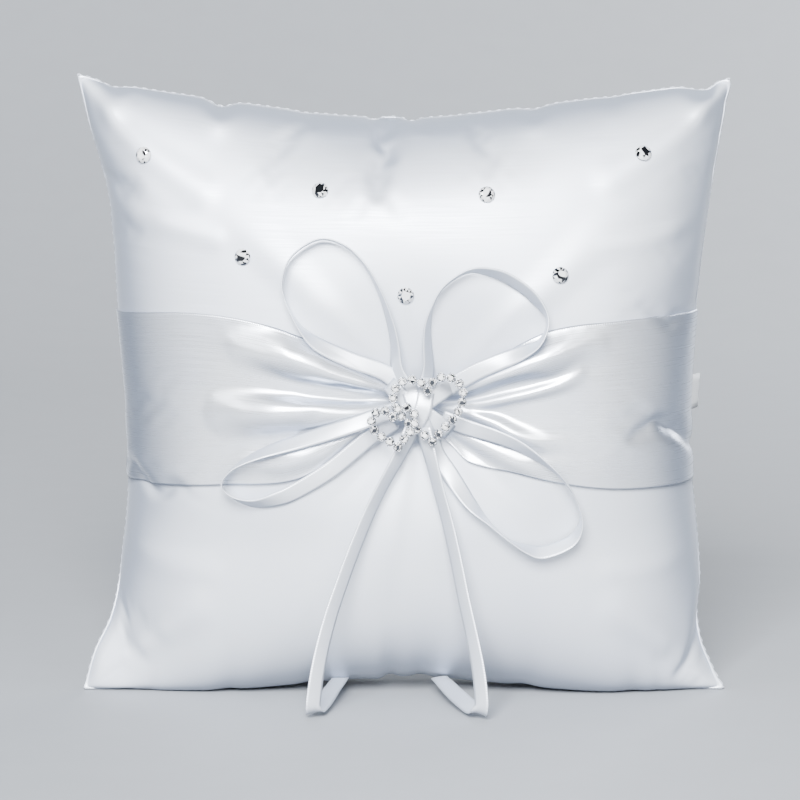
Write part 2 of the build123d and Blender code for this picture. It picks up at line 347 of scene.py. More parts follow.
def crystal(name):
    """Foil-backed cut glass: every facet mirrors, and each facet is painted near black or white at random, a painted
    reflection.
    """
    nodes = material_nodes(name)
    facing = nodes.scaled(nodes.add("NewGeometry").outputs["True Normal"], 37.0)
    place = nodes.scaled(nodes.object_place(), 260.0)
    facet_seed = nodes.add("VectorMath", operation="ADD")
    nodes.feed(facet_seed.inputs[0], facing)
    nodes.feed(facet_seed.inputs[1], place)
    # painted reflection: facets picked at random get a near black or a white colour, and are less metallic where white
    painted_reflection = nodes.ramp(nodes.noise(facet_seed.outputs[0], 1.0, 0.0), 0.445, 0.48, 0, 1)
    nodes.set(
        Base_Color=nodes.mix(painted_reflection, (0.03, 0.035, 0.045, 1), (1, 1, 1, 1)),
        Metallic=nodes.ramp(painted_reflection, 0, 1, 0.9, 0.25),
        Roughness=0.04,
        Coat_Weight=0.6,
        Coat_Roughness=0.02,
        Coat_IOR=1.6,
    )
    return nodes.owner


def fleece(name):
    """Loose fibre filling."""
    nodes = material_nodes(name)
    fibres = nodes.noise(nodes.object_place(), 700.0, 6.0)
    nodes.set(
        Base_Color=nodes.mix(fibres, (0.85, 0.86, 0.88, 1), (0.97, 0.97, 0.97, 1)),
        Roughness=0.95,
        Sheen_Weight=0.6,
        Normal=nodes.bump(fibres, 0.6 * MM),
    )
    return nodes.owner


def tape(name):
    """Blank woven label tape."""
    nodes = material_nodes(name)
    ribs = nodes.wave(nodes.cloth_uv((1, 0, 0)), 700.0)
    warp = nodes.wave(nodes.cloth_uv((0, 1, 0)), 500.0, bands_direction="Y")
    weave = nodes.math("MULTIPLY", ribs, warp)
    nodes.set(
        Base_Color=nodes.mix(weave, (0.78, 0.8, 0.84, 1), (0.93, 0.94, 0.96, 1)),
        Roughness=0.7,
        Normal=nodes.bump(weave, 0.05 * MM, 0.6),
    )
    return nodes.owner


def glue(name):
    """Clear dried glue under a stone."""
    nodes = material_nodes(name)
    bubbles = nodes.noise(nodes.object_place(), 1500.0)
    nodes.set(
        Base_Color=nodes.mix(bubbles, (0.8, 0.82, 0.85, 1), (0.95, 0.95, 0.95, 1)),
        Roughness=nodes.ramp(bubbles, 0.3, 0.7, 0.1, 0.35),
        Transmission_Weight=0.5,
    )
    return nodes.owner


SASH_HALF = 26.3 * MM
RIBBON_WIDTH = 5 * MM
# rim: how much shade is painted into each satin's colour where it turns away from the camera
COVER_SATIN = satin(
    "cover_satin", (0.86, 0.9, 0.97, 1), (0.79, 0.83, 0.92, 1),
    roughness=0.45, gloss=0.4, slub=0.35, rim=0.85,
)
SASH_SATIN = satin(
    "sash_satin", (0.93, 0.96, 1, 1), (0.84, 0.88, 0.97, 1),
    roughness=0.3, gloss=0.7, slub=0.4, rim=1.0, half_width=SASH_HALF,
)
RIBBON_SATIN = satin(
    "ribbon_satin", (0.91, 0.94, 0.99, 1), (0.78, 0.82, 0.9, 1),
    roughness=0.36, gloss=0.4, slub=0.6, rim=0.5, half_width=RIBBON_WIDTH / 2,
)
THREAD = thread("sewing_thread", (0.8, 0.83, 0.9, 1), (0.55, 0.58, 0.66, 1))
SILVER = silver("plated_silver")
CRYSTAL = crystal("foiled_crystal")
FLEECE = fleece("fibre_filling")
TAPE = tape("label_tape")
GLUE = glue("clear_glue")


# --- Shape of the cushion -----------------------------------------------------
# Both panels share one grid of fabric coordinates u, v in -1..1, with the seam at the rim.
CELLS = 88
SIDE = CELLS + 1
SPAN = np.linspace(-1, 1, SIDE)
U, V = np.meshgrid(SPAN, SPAN)
PANEL_HALF_WIDTH = 102 * MM  # flat panels, before stuffing
PANEL_HALF_HEIGHT = 98.5 * MM
SWELL = 0.55  # exponent of the stuffed cross-section
TUFT_RADIUS = 9 * MM  # patch of front panel caught under the bow
TUFT_SINK = 2 * MM
TUFT_GATHER = 0.8
FOLD_STEPS = 60
BELLY_ROW = 28  # row of the panels below which the lower edge rounds off
SAG = 7 * MM  # how far that round edge hangs before it meets the table
SETTLE = 1.2 * MM  # how deep the cushion presses into the table
CONTACT_SOFTNESS = 1.2 * MM
CREASE_ROOM = 0.5 * MM  # depth kept free for the creases
SATIN_THICKNESS = 0.5 * MM
WAD_SHARE = 0.93  # size of the filling as a share of the cushion
WAD_GAP = 1.5 * MM

# Seam line of each side as (share of the side, millimetres) keys.
LEFT_KEYS = (
    (0, -99.5), (0.06, -96.6), (0.13, -91), (0.24, -87.8), (0.4, -86),
    (0.62, -88.9), (0.84, -92.8), (0.93, -97.6), (1, -100.6),
)
RIGHT_KEYS = (
    (0, 100), (0.05, 95.6), (0.1, 92.3), (0.2, 92), (0.44, 88.4),
    (0.62, 89.9), (0.84, 94.9), (1, 100.2),
)
TOP_KEYS = (
    (0, 192), (0.08, 188.6), (0.2, 184.9), (0.5, 178.9), (0.75, 184), (0.94, 189), (1, 190.5),
)
BOTTOM_KEYS = ((0, 0.5), (0.15, 1), (0.5, 4.8), (0.85, 1), (1, 0.5))
# How far each corner leans out of the seam's plane: u, v of the corner, millimetres to the front.
CORNER_LEANS = ((-1, -1, 14), (1, -1, 6), (-1, 1, 2), (1, 1, -3))
CORNER_REACH = 0.66  # in u and v, how far a lean fades into the panel
# Gathers along the top and bottom seams: v of the seam, u of the gather, depth in millimetres.
GATHERS = (
    (1, -0.89, 1.8), (1, -0.56, 2.8), (1, -0.3, 0.5), (1, 0.04, 0.5),
    (1, 0.4, 1.4), (1, 0.64, 0.5), (1, 0.9, 2.2),
    (-1, -0.85, 1.2), (-1, -0.55, 1.4), (-1, -0.28, 1.0),
    (-1, 0.05, 1.8), (-1, 0.38, 1.2), (-1, 0.72, 1.5),
)
GATHER_WIDTH = 0.035  # in u
GATHER_REACH = 0.14  # in v, how far a gather runs into the panel

# Soft folds the bow pulls into the front panel, each as (run from its outer end to the knot in
# millimetres from the knot, half width at the outer end, half width at the knot, height).
COVER_FOLDS = (
    (((-5, 36), (-4.4, 24), (-3, 10)), 3.0, 1.6, 0.9),
    (((1.5, 33), (1, 22), (0.5, 10)), 2.4, 1.4, 0.9),
    (((-12, -54), (-8, -36), (-3, -12)), 6.0, 2.5, 1.0),
    (((10, -48), (7, -30), (3, -12)), 5.0, 2.5, 0.9),
    (((-60, 62), (-30, 34), (-8, 12)), 9.0, 4.0, 0.9),
    (((62, 60), (34, 34), (9, 12)), 9.0, 4.0, 0.9),
)
# Folds that run into both panels from their corners and side seams, written alike.
CORNER_FOLDS = (
    (((-104, 97), (-88, 80), (-66, 66)), 2.5, 7.0, 1.6),
    (((92, 96), (78, 82), (58, 70)), 2.5, 7.0, 1.6),
    (((-103, -90), (-88, -76), (-68, -62)), 2.5, 7.0, 1.8),
    (((92, -90), (78, -76), (60, -62)), 2.5, 7.0, 1.8),
    (((-96, 62), (-80, 56), (-62, 52)), 2.5, 5.0, 1.2),
    (((86, 58), (72, 52), (56, 50)), 2.5, 5.0, 1.2),
    (((-94, -44), (-80, -48), (-64, -50)), 2.5, 5.0, 1.2),
    (((85, -46), (72, -50), (58, -50)), 2.5, 5.0, 1.2),
)


def outline(u, v):
    """Target x, z of the seam line, blended inwards to every u, v of the panels."""
    across, up = (u + 1) / 2, (v + 1) / 2
    left, right = through(LEFT_KEYS, up) * MM, through(RIGHT_KEYS, up) * MM
    low, high = through(BOTTOM_KEYS, across) * MM, through(TOP_KEYS, across) * MM
    return left + (right - left) * across, low + (high - low) * up


def stuffed_shape():
    """Start shape of both panels: the outline crowned to the cushion's depth."""
    x, z = outline(U, V)
    crown = np.clip((1 - U**2) * (1 - V**2), 0, 1) ** SWELL
    front = np.stack([x, SEAM_Y - FRONT_DEPTH * crown, z], axis=-1)
    back = np.stack([x, SEAM_Y + BACK_DEPTH * crown, z], axis=-1)
    return front, back


def closed_grid():
    """Index grids of the front and back panels in one shared vertex list."""
    front = np.arange(SIDE * SIDE).reshape(SIDE, SIDE)
    back = front.copy()
    inner = SIDE - 2
    back[1:-1, 1:-1] = SIDE * SIDE + np.arange(inner * inner).reshape(inner, inner)
    return front, back


def panel_faces(index, flip):
    """Quads of one panel, facing out of the cushion."""
    quads = np.stack([index[:-1, :-1], index[:-1, 1:], index[1:, 1:], index[1:, :-1]], axis=-1)
    quads = quads.reshape(-1, 4)
    return quads[:, ::-1] if flip else quads


FRONT_INDEX, BACK_INDEX = closed_grid()


def joined(front, back):
    """Points of both panels in one list, with the front's along the seam."""
    points = np.zeros((BACK_INDEX.max() + 1, 3))
    points[BACK_INDEX] = back
    points[FRONT_INDEX] = front
    return points


def joined_faces():
    """Faces of both panels in that list."""
    faces = [panel_faces(FRONT_INDEX, False), panel_faces(BACK_INDEX, True)]
    return np.concatenate(faces).tolist()


# --- Cloth simulation ---------------------------------------------------------
SIM_SCALE = 10.0  # cloth is steadier on a bigger model
STUFFED_VOLUME = 1.42e-3  # cubic metres that the filling's pressure aims at
CUSHION_FRAMES = 26
SASH_FRAMES = 16


def cloth_piece(name, points, flat, faces, pinned):
    """Scaled-up sheet with its flat cut as a shape key and its pinned points in a group."""
    piece = mesh_object(name, points * SIM_SCALE, faces)
    piece.shape_key_add(name="start")
    cut = piece.shape_key_add(name="cut")
    cut.data.foreach_set("co", (flat * SIM_SCALE).ravel())
    cut.value = 0
    group = piece.vertex_groups.new(name="pins")
    group.add([int(i) for i in pinned], 1.0, "REPLACE")
    return piece, cut


def run_cloth(piece, cut, frames, pressure=0.0, volume=0.0, **values):
    """Run Cloth on a sheet whose rest lengths come from the shape cut, and return its points."""
    cloth = piece.modifiers.new("Cloth", "CLOTH")
    settings = cloth.settings
    settings.rest_shape_key = cut
    settings.vertex_group_mass = "pins"
    for name, value in values.items():
        setattr(settings, name, value)
    settings.use_pressure = pressure > 0
    settings.uniform_pressure_force = pressure
    settings.use_pressure_volume = volume > 0
    settings.target_volume = volume * SIM_SCALE**3
    settings.effector_weights.gravity = 0
    cloth.collision_settings.use_collision = pressure == 0
    cloth.collision_settings.distance_min = 0.5 * MM * SIM_SCALE
    cloth.point_cache.frame_end = frames
    scene = bpy.context.scene
    for number in range(1, frames + 1):
        scene.frame_set(number)
    graph = bpy.context.evaluated_depsgraph_get()
    mesh = bpy.data.meshes.new_from_object(piece.evaluated_get(graph))
    settled = np.zeros(len(mesh.vertices) * 3)
    mesh.vertices.foreach_get("co", settled)
    bpy.data.meshes.remove(mesh)
    bpy.data.objects.remove(piece)
    scene.frame_set(1)
    return settled.reshape(-1, 3) / SIM_SCALE


def simulate_cushion(points, flat, faces, pinned):
    """Let the panels settle towards their flat cut under the filling's pressure."""
    piece, cut = cloth_piece("cushion_sim", points, flat, faces, pinned)
    return run_cloth(
        piece, cut, CUSHION_FRAMES, pressure=3.5, volume=STUFFED_VOLUME,
        quality=7, mass=0.2, air_damping=4,
        tension_stiffness=40, compression_stiffness=30, shear_stiffness=8, bending_stiffness=0.4,
        tension_damping=12, compression_damping=12, shear_damping=8,
    )


# --- Finishing the cushion's shape --------------------------------------------
def rim_cells():
    """Rows and columns of the seam's vertices in order round the cushion."""
    rim = (
        [(0, c) for c in range(CELLS)]
        + [(r, CELLS) for r in range(CELLS)]
        + [(CELLS, c) for c in range(CELLS, 0, -1)]
        + [(r, 0) for r in range(CELLS, 0, -1)]
    )
    return np.array(rim).T


def eased(values, passes=6):
    """Smooth a closed run of numbers without moving it as a whole."""
    for _ in range(passes):
        values = (np.roll(values, 1) + 2 * values + np.roll(values, -1)) / 4
    return values


def outline_shift(rim_points):
    """Shift of x, z at every u, v that brings the smoothed seam line onto the outline."""
    x, z = outline(U, V)
    rows, columns = rim_cells()
    shift = np.zeros((SIDE, SIDE, 2))
    shift[rows, columns, 0] = eased(x[rows, columns] - rim_points[:, 0])
    shift[rows, columns, 1] = eased(z[rows, columns] - rim_points[:, 2])
    across, up = (U[..., None] + 1) / 2, (V[..., None] + 1) / 2
    left, right = shift[:, :1], shift[:, -1:]
    low, high = shift[:1], shift[-1:]
    corners = (
        low[:, :1] * (1 - across) * (1 - up)
        + low[:, -1:] * across * (1 - up)
        + high[:, :1] * (1 - across) * up
        + high[:, -1:] * across * up
    )
    return left * (1 - across) + right * across + low * (1 - up) + high * up - corners


def fit_depth(panel, depth):
    """Scale a panel's distance from the seam so that its deepest point reaches depth."""
    away = panel[..., 1] - SEAM_Y
    panel[..., 1] = SEAM_Y + away * depth / np.abs(away).max()


def lean_corners(panel):
    """Push each corner out of the seam's plane."""
    for u, v, forward in CORNER_LEANS:
        near = smoothstep(CORNER_REACH, 0, np.hypot(U - u, V - v))
        panel[..., 1] -= forward * MM * near


def gather_seams(panel, outward):
    """Short dents where the seam thread draws the satin together."""
    for v, u, depth in GATHERS:
        along = np.exp(-(((U - u) / GATHER_WIDTH) ** 2))
        inward = np.exp(-np.abs(V - v) / GATHER_REACH)
        bulge = np.exp(-((np.abs(V - v) / GATHER_REACH - 0.6) ** 2) * 6)
        panel[..., 2] -= v * depth * MM * along * inward * 0.8
        panel[..., 1] -= outward * depth * MM * along * bulge


def slump(panel):
    """Round the lower edge off into a belly that sags onto the table in front of the seam."""
    u, v = U[:BELLY_ROW], V[:BELLY_ROW]
    seam, widest = panel[0], panel[BELLY_ROW]
    share = (v + 1) / (V[BELLY_ROW, 0] + 1)
    turn = (share + smoothstep(0, 1, share)) * math.pi / 4
    heavy = 0.3 + 0.7 * smoothstep(0, 0.7, np.abs(u - 0.05))  # the corners hang lower
    sag = SAG * heavy * np.sin(2 * turn)
    target = panel[:BELLY_ROW].copy()
    target[..., 1] = seam[:, 1] + (widest - seam)[:, 1] * np.sin(turn)
    target[..., 2] = seam[:, 2] + (widest - seam)[:, 2] * (1 - np.cos(turn)) - sag
    weight = (1 - u**8) * (1 - smoothstep(0.65, 1, share))
    panel[:BELLY_ROW] += (target - panel[:BELLY_ROW]) * weight[..., None]


def soft_ridge(away):
    """Cross-section of a slight fold, at shares of its half width from its middle."""
    return 1 - smoothstep(0, 1.15, away)


def tube_ridge(away):
    """Cross-section of a full, rounded fold."""
    return np.clip(1 - away**2, 0, 1) ** 1.4


def fold_height(folds, ridge, x, z):
    """How far folds lift the fabric at x, z, all in millimetres from the knot."""
    total = np.zeros_like(x)
    share = np.linspace(0, 1, FOLD_STEPS)
    for run, outer, inner, height in folds:
        path = smooth_run(run, FOLD_STEPS)
        width = outer + (inner - outer) * share
        rise = height * smoothstep(-0.15, 0.35, share) * (1 - 0.4 * share)
        away = np.hypot(x[..., None] - path[:, 0], z[..., None] - path[:, 1]) / width
        bump = rise * ridge(away)
        total += bump.max(axis=-1) ** 3
    return np.cbrt(total)


def crease(panel, outward):
    """Raise the soft folds of a panel; the back has only those that run in from its corners."""
    folds = COVER_FOLDS + CORNER_FOLDS if outward > 0 else CORNER_FOLDS
    x, z = (panel[..., 0] - KNOT.x) / MM, (panel[..., 2] - KNOT.z) / MM
    height = fold_height(folds, soft_ridge, x, z)
    panel[..., 1] -= outward * height * MM * (1 - np.maximum(np.abs(U), np.abs(V)) ** 12)


def settle_on_table(front, back):
    """Flatten whatever hangs below the table into a soft contact patch."""
    for panel in (front, back):
        above = (panel[..., 2] - SETTLE) / CONTACT_SOFTNESS
        panel[..., 2] = CONTACT_SOFTNESS * np.logaddexp(0, above)
    lowest = min(front[..., 2].min(), back[..., 2].min())
    front[..., 2] -= lowest
    back[..., 2] -= lowest


def cushion_points():
    """Stuffed front and back panels, before their finishing touches."""
    front, back = stuffed_shape()
    cut = np.stack([U * PANEL_HALF_WIDTH, U * 0, V * PANEL_HALF_HEIGHT], axis=-1)
    points, flat = joined(front, back), joined(cut, cut + [0, 1 * MM, 0])
    from_knot = np.hypot(front[..., 0] - KNOT.x, front[..., 2] - KNOT.z)
    caught = FRONT_INDEX[from_knot < TUFT_RADIUS]
    points[caught, 0] = KNOT.x + (points[caught, 0] - KNOT.x) * TUFT_GATHER
    points[caught, 2] = KNOT.z + (points[caught, 2] - KNOT.z) * TUFT_GATHER
    points[caught, 1] += TUFT_SINK
    points = simulate_cushion(points, flat, joined_faces(), caught)
    return points[FRONT_INDEX], points[BACK_INDEX]


def make_cushion():
    """Grids of points of the finished front and back panels."""
    front, back = cushion_points()
    rows, columns = rim_cells()
    shift = outline_shift(front[rows, columns])
    for panel, outward, depth in ((front, 1, FRONT_DEPTH), (back, -1, BACK_DEPTH)):
        panel[..., [0, 2]] += shift
        fit_depth(panel, depth - CREASE_ROOM)
        lean_corners(panel)
        gather_seams(panel, outward)
        slump(panel)
        crease(panel, outward)
    settle_on_table(front, back)
    return front, back


def cover_piece(name, panel, flip, node):
    """One satin panel with its thickness inside the surface."""
    grid = np.arange(SIDE * SIDE).reshape(SIDE, SIDE)
    piece = mesh_object(name, panel, panel_faces(grid, flip))
    set_uv(piece, U * PANEL_HALF_WIDTH, V * PANEL_HALF_HEIGHT)
    smoothed(piece)
    thickened(piece, SATIN_THICKNESS, -1.0)
    finish_piece(piece, COVER_SATIN, node)
    return piece


def filling_piece(front, back):
    """Fibre wad inside the cover, clear of the satin and of the seam."""
    middle_y = (front[..., 1] + back[..., 1]) / 2
    centre = np.array([0, SEAM_Y, COVER_HIGH.z / 2])
    sides = []
    for panel in (front, back):
        depth = (panel[..., 1] - middle_y) * WAD_SHARE
        side = centre + (panel - centre) * WAD_SHARE
        side[..., 1] = middle_y + np.sign(depth) * np.maximum(np.abs(depth) - WAD_GAP, 0)
        sides.append(side)
    piece = mesh_object("fibre_filling_wad", joined(*sides), joined_faces())
    finish_piece(piece, FLEECE, "fibre_filling")


# --- Reading the finished front panel -----------------------------------------
def spline_weights(t):
    """Weights of four neighbours for a uniform cubic B-spline."""
    s = 1 - t
    return np.stack([s**3, 3 * t**3 - 6 * t**2 + 4, 3 * s**3 - 6 * s**2 + 4, t**3]) / 6


def surface_at(panel, u, v):
    """Points of a panel's smooth surface at fabric coordinates u, v."""
    u, v = np.broadcast_arrays(u, v)
    column = np.clip((u.ravel() + 1) / 2 * CELLS, 0, CELLS - 1e-9)
    row = np.clip((v.ravel() + 1) / 2 * CELLS, 0, CELLS - 1e-9)
    c, r = column.astype(int), row.astype(int)
    across, up = spline_weights(column - c), spline_weights(row - r)
    padded = np.pad(panel, ((1, 2), (1, 2), (0, 0)), mode="reflect", reflect_type="odd")
    result = np.zeros((u.size, 3))
    for i in range(4):
        for j in range(4):
            result += (up[i] * across[j])[:, None] * padded[r + i, c + j]
    return result.reshape(u.shape + (3,))


def grid_normals(surface):
    """Unit normals of a grid of points, facing the front."""
    return unit(np.cross(np.gradient(surface, axis=1), np.gradient(surface, axis=0)))


class Surface:
    """Frontmost points of some pieces."""

    def __init__(self, *pieces):
        graph = bpy.context.evaluated_depsgraph_get()
        self.trees = [BVHTree.FromObject(piece, graph) for piece in pieces]

    def hit(self, x, z):
        """Frontmost point and normal straight behind x, z, or the seam's plane."""
        place, normal = Vector((x, SEAM_Y, z)), Vector(FRONT)
        for tree in self.trees:
            found = tree.ray_cast(Vector((x, -0.3, z)), Vector((0, 1, 0)))
            if found[0] is not None and found[0].y < place.y:
                place, normal = found[0], found[1]
        return place, normal

    def y(self, x, z):
        """How far back that frontmost point is."""
        return self.hit(x, z)[0].y


# --- Sash ---------------------------------------------------------------------
SASH_THICKNESS = 0.35 * MM
SASH_ROWS, SASH_COLUMNS = 45, 181
SASH_SLACK = 1.02  # how much longer the ribbon is than its path
SASH_GAP = 0.8 * MM
SASH_SOFTENING = 3
# Edges of the gathered sash: millimetres right of and above the knot.
SASH_TOP = (
    (-95, 25.4), (-67, 27.7), (-46, 25.4), (-24, 17), (-7, 8.5), (6, 8.2),
    (21, 14.2), (39, 23.4), (60, 25.8), (84, 26.2), (95, 26.2),
)
SASH_BOTTOM = (
    (-95, -26.4), (-58, -23.8), (-35, -21), (-16, -9.4), (-6, -6), (4, -7.5),
    (11, -14.6), (27, -19.4), (52, -24.4), (83, -26.1), (95, -26.3),
)
# Its folds, written like the cover's.
SASH_FOLDS = (
    (((-50, 18.5), (-36, 15), (-23.5, 10.5), (-13, 6.5), (-5.5, 3.5)), 8.5, 2.6, 5.4),
    (((-57, -2), (-45, -1.5), (-35, -1.5), (-22, -2), (-8, 0)), 8.5, 2.4, 5.2),
    (((-39, 2.5), (-37.5, -2), (-29, -4.6), (-20.5, -2.4), (-11, 2.2)), 2.6, 1.8, 1.8),
    (((-54, -20), (-30, -13), (-8, -4)), 7.0, 2.2, 2.2),
    (((49, 19), (36, 15), (25.5, 11), (17, 7), (6, 3)), 8.0, 2.4, 5.0),
    (
        ((45, 15), (47.5, 11.5), (43.5, 8), (36.3, 5.4), (27.7, 3.1), (17, 0.9), (7, 0)),
        2.6, 1.8, 2.4,
    ),
    (((38, -11.6), (28.6, -7.8), (22.6, -4.6), (14, -1.6), (6, -1)), 3.4, 2.0, 3.0),
    (((40, -19.5), (24, -14), (8, -5)), 6.0, 2.2, 2.0),
)


def sash_start(panel):
    """Gathered sash with its folds, row by row from its lower edge."""
    across = np.linspace(-1, 1, SASH_COLUMNS)
    share = np.linspace(0, 1, SASH_ROWS)[:, None]
    middle = surface_at(panel, across, np.zeros(SASH_COLUMNS))[:, 0]
    aside = (middle - KNOT.x) / MM
    above = through(SASH_BOTTOM, aside) * (1 - share) + through(SASH_TOP, aside) * share
    column_z = surface_at(panel, across[None, :], SPAN[:, None])[..., 2]
    wanted_z = KNOT.z + above * MM
    up = [np.interp(wanted_z[:, i], column_z[:, i], SPAN) for i in range(SASH_COLUMNS)]
    up = np.stack(up, axis=1)
    surface = surface_at(panel, across, up)
    x, z = (surface[..., 0] - KNOT.x) / MM, (surface[..., 2] - KNOT.z) / MM
    folds = fold_height(SASH_FOLDS, tube_ridge, x, z) * MM
    folds *= 0.35 + 0.65 * smoothstep(5, 20, np.hypot(x, z))  # pressed flat under the bow
    ends = smoothstep(1, 0.93, np.abs(across))
    lift = SASH_GAP * (0.6 + 0.4 * ends) + folds * ends
    return surface + grid_normals(surface) * lift[..., None]


def simulate_sash(start, panel):
    """Let the gathered ribbon relax over the cushion, held at the side seams and at the knot."""
    steps = np.linalg.norm(np.diff(start, axis=1), axis=-1).mean(axis=0)
    along = np.concatenate([[0], np.cumsum(steps)]) * SASH_SLACK
    flat = np.zeros_like(start)
    flat[..., 0] = along - along[-1] / 2
    flat[..., 2] = np.linspace(-SASH_HALF, SASH_HALF, SASH_ROWS)[:, None]
    pins = np.zeros(start.shape[:2], bool)
    pins[:, :2] = pins[:, -2:] = True
    pins |= np.abs(start[..., 0] - KNOT.x) < 3 * MM
    faces = grid_faces(SASH_ROWS, SASH_COLUMNS)
    piece, cut = cloth_piece("sash_sim", start, flat, faces, np.flatnonzero(pins))
    form = sheet("sash_form", panel * SIM_SCALE)
    form.modifiers.new("Collision", "COLLISION")
    form.collision.thickness_outer = 0.4 * MM * SIM_SCALE
    form.collision.damping = 0.8
    settled = run_cloth(
        piece, cut, SASH_FRAMES,
        quality=6, mass=0.25, air_damping=5,
        tension_stiffness=25, compression_stiffness=3, shear_stiffness=3, bending_stiffness=45,
        tension_damping=15, compression_damping=15, shear_damping=15, bending_damping=4,
    )
    bpy.data.objects.remove(form)
    settled = settled.reshape(start.shape)
    for _ in range(SASH_SOFTENING):
        inner = settled[1:-1, 1:-1]
        around = settled[:-2, 1:-1] + settled[2:, 1:-1] + settled[1:-1, :-2] + settled[1:-1, 2:]
        settled[1:-1, 1:-1] = (inner + around / 4) / 2
    calm = smoothstep(50 * MM, 68 * MM, np.abs(start[..., :1] - KNOT.x))  # the ends lie smooth
    return settled * (1 - calm) + start * calm


def sash_piece(panel):
    """Satin sash round the front of the cushion."""
    points = sash_start(panel)
    points = simulate_sash(points, panel)
    piece = sheet("satin_sash_gathered", points)
    along = np.linspace(-1, 1, SASH_COLUMNS) * PANEL_HALF_WIDTH
    across = np.linspace(-SASH_HALF, SASH_HALF, SASH_ROWS)
    set_uv(piece, *np.meshgrid(along, across))
    smoothed(piece)
    thickened(piece, SASH_THICKNESS)
    finish_piece(piece, SASH_SATIN, "satin_sash")
    return piece


# --- Narrow ribbon ------------------------------------------------------------
RIBBON_THICKNESS = 0.35 * MM
RIBBON_CUP = 0.12 * MM  # how far the ribbon's middle stands off its edges
RIBBON_ACROSS = 7
RIBBON_STEP = 1.0 * MM
ON_EDGE = unit(np.array([0.04, -1.0, 0.14]))  # where a ribbon on edge stands up to
UNDER_BROOCH = 14.0  # millimetres round the knot
HINGE_START, HINGE_END = 11 * MM, 23 * MM  # from the knot, where hinge_ends puts its two points across a loop's or tail's hinge
# Middle line of each loop: millimetres right of and above the knot, lean in degrees
# (0 flat on the cushion, 90 on edge) and clearance over the satin in millimetres.
LOOP_RUNS = {
    "upper_left_loop": (
        (-4, 5, 10, 1.6), (-10.1, 10.8, 15, 1.2), (-20.6, 14.9, 20, 0.8), (-30, 19.5, 42, 0.6), (-35.8, 25, 76, 0.6),
        (-40, 33, 88, 0.8), (-40.8, 39, 90, 1.2), (-38, 46, 90, 1.4), (-30, 51, 88, 1.4), (-22.4, 49.4, 86, 1.2),
        (-16.3, 43.9, 84, 1.0), (-11.7, 35.7, 78, 0.8), (-8.6, 26.9, 68, 0.7), (-7.1, 19.5, 60, 0.8),
        (-6.5, 12, 45, 1.0), (-3, 5, 25, 1.6)),
    "upper_right_loop": (
        (1.5, 5, 25, 1.8), (2.8, 12, 52, 1.2), (2.5, 19.5, 62, 0.8), (2.7, 25.4, 70, 0.8), (4.2, 31.3, 84, 0.9),
        (7.7, 37.2, 86, 1.1), (15, 41.8, 80, 1.4), (22.6, 41.2, 58, 1.5), (28.6, 38.5, 54, 1.4), (34.6, 33.7, 58, 1.2),
        (38.6, 27, 84, 1.0), (36.2, 20.5, 72, 0.8), (30.3, 17.1, 36, 0.7), (22.8, 14, 12, 0.9), (16.8, 11.3, 6, 1.2),
        (8, 6, 5, 1.8)),
    "lower_left_loop": (
        (-6, 0, 10, 1.4), (-14, -2.5, 20, 0.8), (-23.6, -5.7, 26, 0.6), (-35.8, -9.7, 36, 0.6), (-48.1, -13.8, 60, 0.6),
        (-56, -18.2, 84, 0.8), (-59.4, -23.2, 90, 1.0), (-56.5, -27.2, 86, 1.0), (-50, -29.1, 64, 0.9),
        (-42.1, -27.5, 30, 0.8), (-35.9, -24.5, 12, 0.7), (-26.7, -18.6, 5, 0.8), (-19.1, -12.3, 5, 1.2),
        (-14.6, -8.6, 5, 1.6), (-7, -4, 5, 2.2)),
    "lower_right_loop": (
        (7, -3, 10, 1.4), (14.2, -5.5, 15, 0.9), (22.9, -8.1, 30, 0.6), (30.4, -11, 50, 0.6), (37.9, -15.9, 74, 0.8),
        (44, -21.7, 86, 1.0), (47.9, -28.7, 90, 1.2), (49, -35, 78, 1.2), (46, -40.5, 52, 1.2), (38, -43.7, 44, 1.2),
        (33, -42.8, 60, 1.1), (27.4, -39.9, 84, 1.0), (21.4, -34.7, 80, 0.8), (15.4, -28.4, 45, 0.7),
        (9.4, -19.9, 15, 0.9), (5.2, -13.7, 8, 1.4), (3, -7, 10, 2.2)),
}
# Middle line of each tail: millimetres right of and above the knot and in front of the seam,
# and how far it's turned towards its edge, in degrees.
TAIL_RUNS = {
    "left_tail": (
        (-1.6, -5, 41.3, 20), (-5.6, -13.5, 41.6, 38), (-11, -23.5, 41.5, 45), (-15.1, -32, 41.8, 45),
        (-19.3, -42.4, 43, 45), (-22.8, -52, 44.4, 44), (-26, -61.5, 46, 43), (-28.4, -70.5, 48, 41),
        (-30, -78.5, 49.6, 38), (-31, -86, 50.6, 34), (-31.2, -88.9, 50.7, 34), (-30.9, -90.4, 49, 38),
        (-30.1, -90.4, 46, 44), (-28.8, -89.6, 40, 52), (-27.2, -88.3, 31, 56), (-25.8, -87.8, 20, 56),
        (-25, -87.7, 12, 54)),
    "right_tail": (
        (1.4, -5, 41.3, -20), (3.6, -13.5, 41.6, -38), (6, -23, 41.5, -45), (8.7, -33, 42, -45),
        (11.3, -44, 43.2, -45), (13.8, -56, 45, -44), (16.3, -66.8, 47, -42), (18.4, -77, 49.2, -39),
        (19.4, -85.4, 50.6, -36), (19.3, -88.7, 50.7, -36), (18.6, -90.2, 49, -40), (17.2, -90.2, 46, -48),
        (14.4, -89.4, 40, -57), (10.8, -88.4, 31, -61), (7.6, -87.6, 21, -61), (5.4, -87.3, 13, -60)),
}
